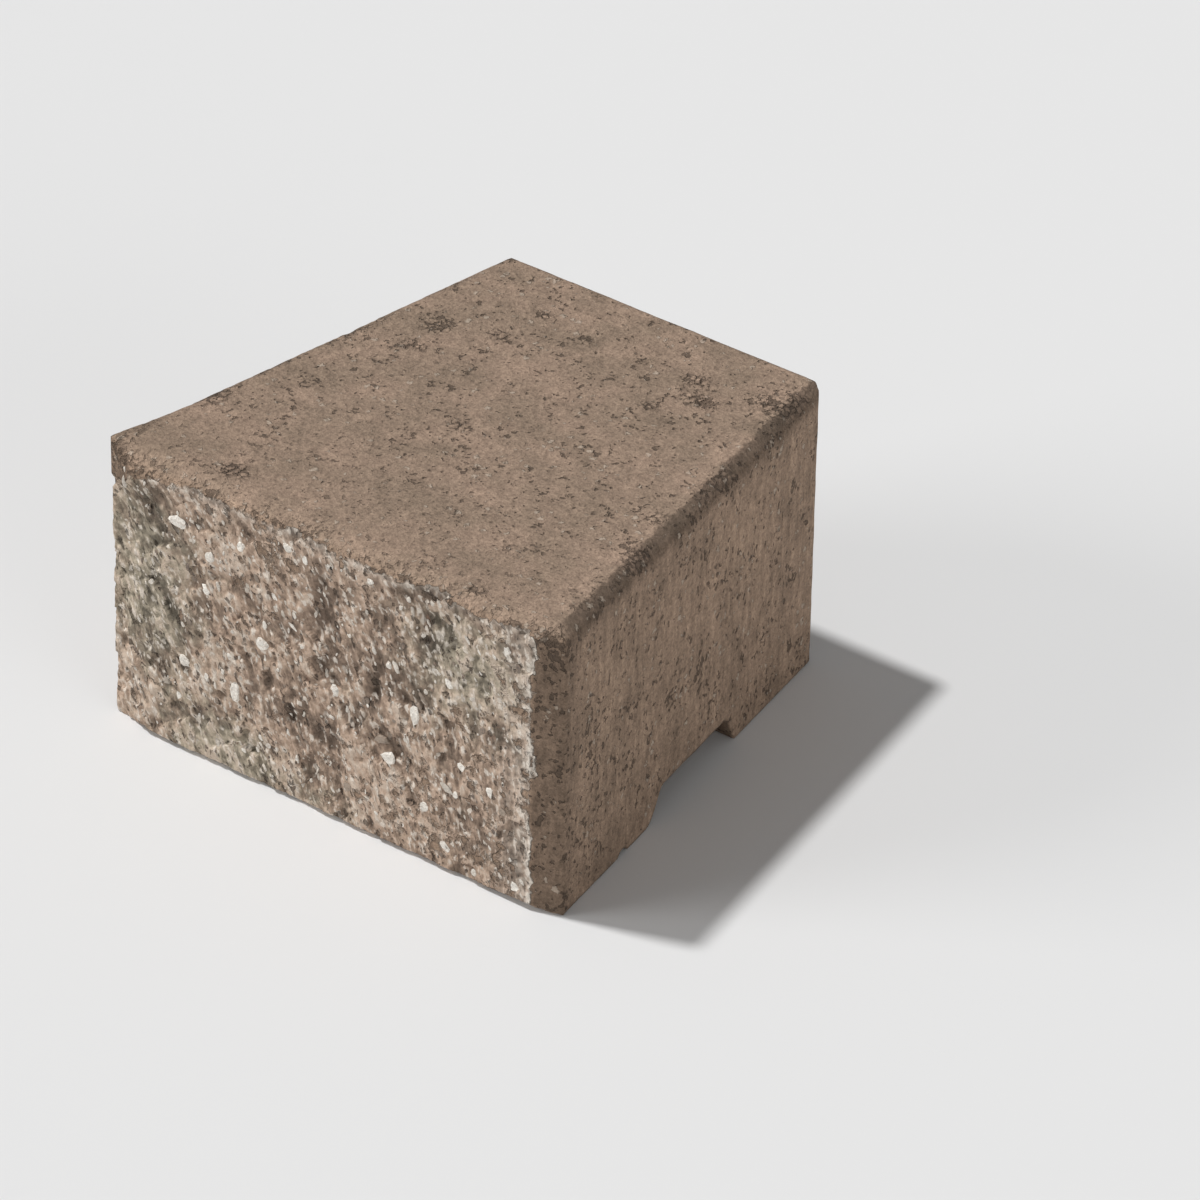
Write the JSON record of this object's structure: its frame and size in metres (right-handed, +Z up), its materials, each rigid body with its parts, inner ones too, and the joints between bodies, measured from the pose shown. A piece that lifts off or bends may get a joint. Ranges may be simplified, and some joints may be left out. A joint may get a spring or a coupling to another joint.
{
  "type": "wall cap block",
  "caption": "Concrete wall cap block with a rough split front, a flat top, sides that draw in to the back and a channel across its underside.",
  "frame": {"origin": "on the ground, under the centre of the block's box", "axes": "+X along the width, +Y from the split front to the back, +Z up"},
  "size_m": [0.266, 0.2486, 0.152],
  "materials": {
    "concrete": "tan-brown dry-cast concrete: pitted moulded skin on the top, sides and back, and a rough split front with pale chips"
  },
  "bodies": {
    "root": {"cap_block": "concrete"}
  },
  "joints": []
}
